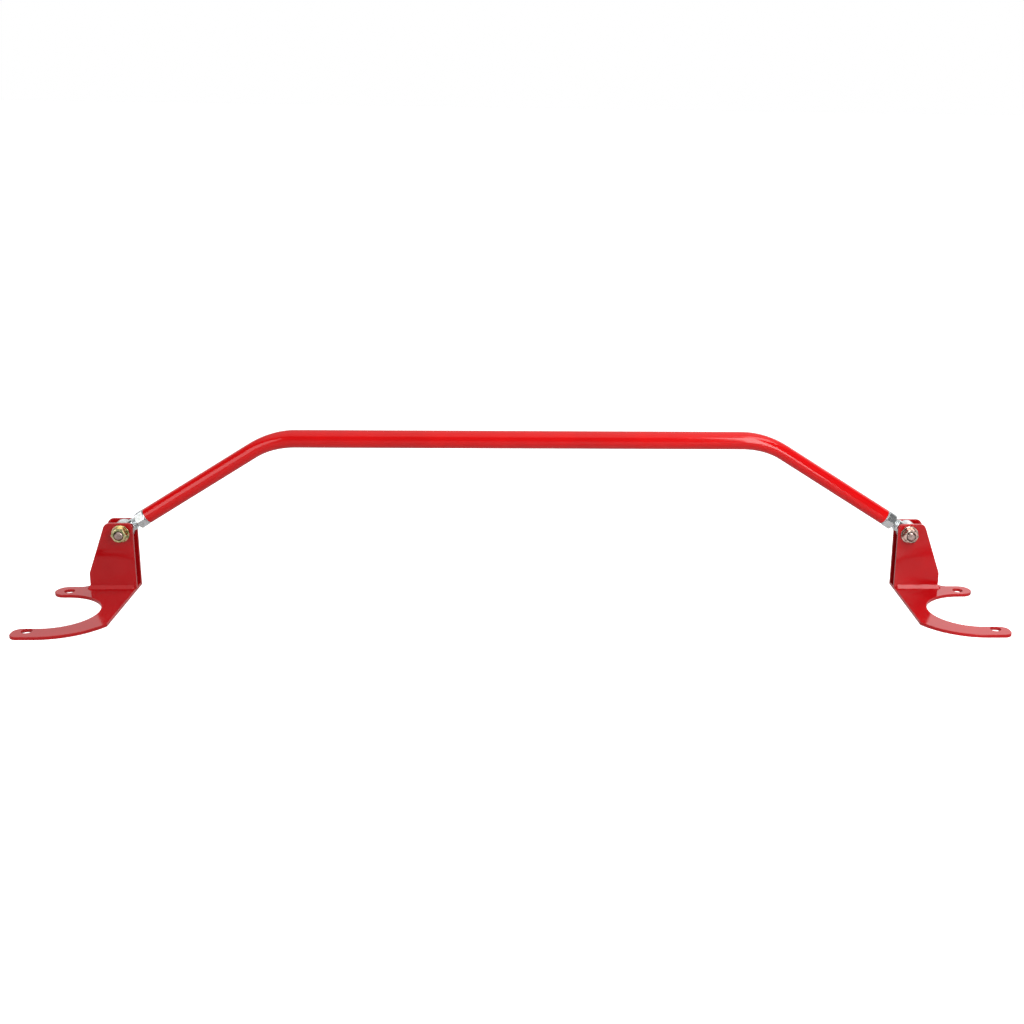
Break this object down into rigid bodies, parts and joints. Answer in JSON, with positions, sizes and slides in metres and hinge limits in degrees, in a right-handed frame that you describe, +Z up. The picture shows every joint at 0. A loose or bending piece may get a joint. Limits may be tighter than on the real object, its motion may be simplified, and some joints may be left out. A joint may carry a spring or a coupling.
{
  "type": "strut tower brace",
  "caption": "Bent steel strut tower brace: a raised round tube with threaded eye ends, pivoted in welded clevis brackets that bolt over the suspension towers.",
  "frame": {"origin": "middle of the brace's bounding box, on the plane of the two base plates' undersides", "axes": "+X along the bar from tower to tower, +Y from the open front prongs back to the clevises, +Z up from the towers"},
  "size_m": [1.157, 0.188, 0.2045],
  "materials": {
    "red_coat": "glossy red powder coat on steel",
    "zinc_steel": "bright zinc-plated steel",
    "yellow_zinc": "yellow zinc-plated steel with a faint iridescence"
  },
  "bodies": {
    "bar": {"bar_tube": "red_coat", "right_thread_insert": "zinc_steel", "left_thread_insert": "zinc_steel"},
    "right_lock_nut": {"right_lock_nut": "zinc_steel"},
    "right_eye": {"right_eye_end": "zinc_steel"},
    "right_bracket": {"right_base_plate": "red_coat", "right_front_ear": "red_coat", "right_rear_ear": "red_coat", "right_front_ear_weld": "red_coat", "right_rear_ear_weld": "red_coat", "right_pivot_bolt": "zinc_steel", "right_pivot_nut": "yellow_zinc", "right_head_washer": "yellow_zinc", "right_nut_washer": "yellow_zinc"},
    "left_lock_nut": {"left_lock_nut": "zinc_steel"},
    "left_eye": {"left_eye_end": "zinc_steel"},
    "left_bracket": {"left_base_plate": "red_coat", "left_front_ear": "red_coat", "left_rear_ear": "red_coat", "left_front_ear_weld": "red_coat", "left_rear_ear_weld": "red_coat", "left_pivot_bolt": "zinc_steel", "left_pivot_nut": "yellow_zinc", "left_head_washer": "yellow_zinc", "left_nut_washer": "yellow_zinc"}
  },
  "joints": [
    {"name": "right_lock_nut_run", "type": "slide", "parent": "bar", "child": "right_lock_nut", "axis": [0.8457, 0, -0.5337], "range_m": [0, 0.004]},
    {"name": "right_length_adjust", "type": "slide", "parent": "bar", "child": "right_eye", "axis": [0.8457, 0, -0.5337], "range_m": [-0.004, 0.012]},
    {"name": "right_bracket_swing", "type": "hinge", "parent": "right_eye", "child": "right_bracket", "pos_m": [0.49, 0.07355, 0.0755], "axis": [0, -1, 0], "range_deg": [-40, 90]},
    {"name": "left_lock_nut_run", "type": "slide", "parent": "bar", "child": "left_lock_nut", "axis": [-0.8457, 0, -0.5337], "range_m": [0, 0.004]},
    {"name": "left_length_adjust", "type": "slide", "parent": "bar", "child": "left_eye", "axis": [-0.8457, 0, -0.5337], "range_m": [-0.004, 0.012]},
    {"name": "left_bracket_swing", "type": "hinge", "parent": "left_eye", "child": "left_bracket", "pos_m": [-0.49, 0.07355, 0.0755], "axis": [0, 1, 0], "range_deg": [-40, 90]}
  ]
}
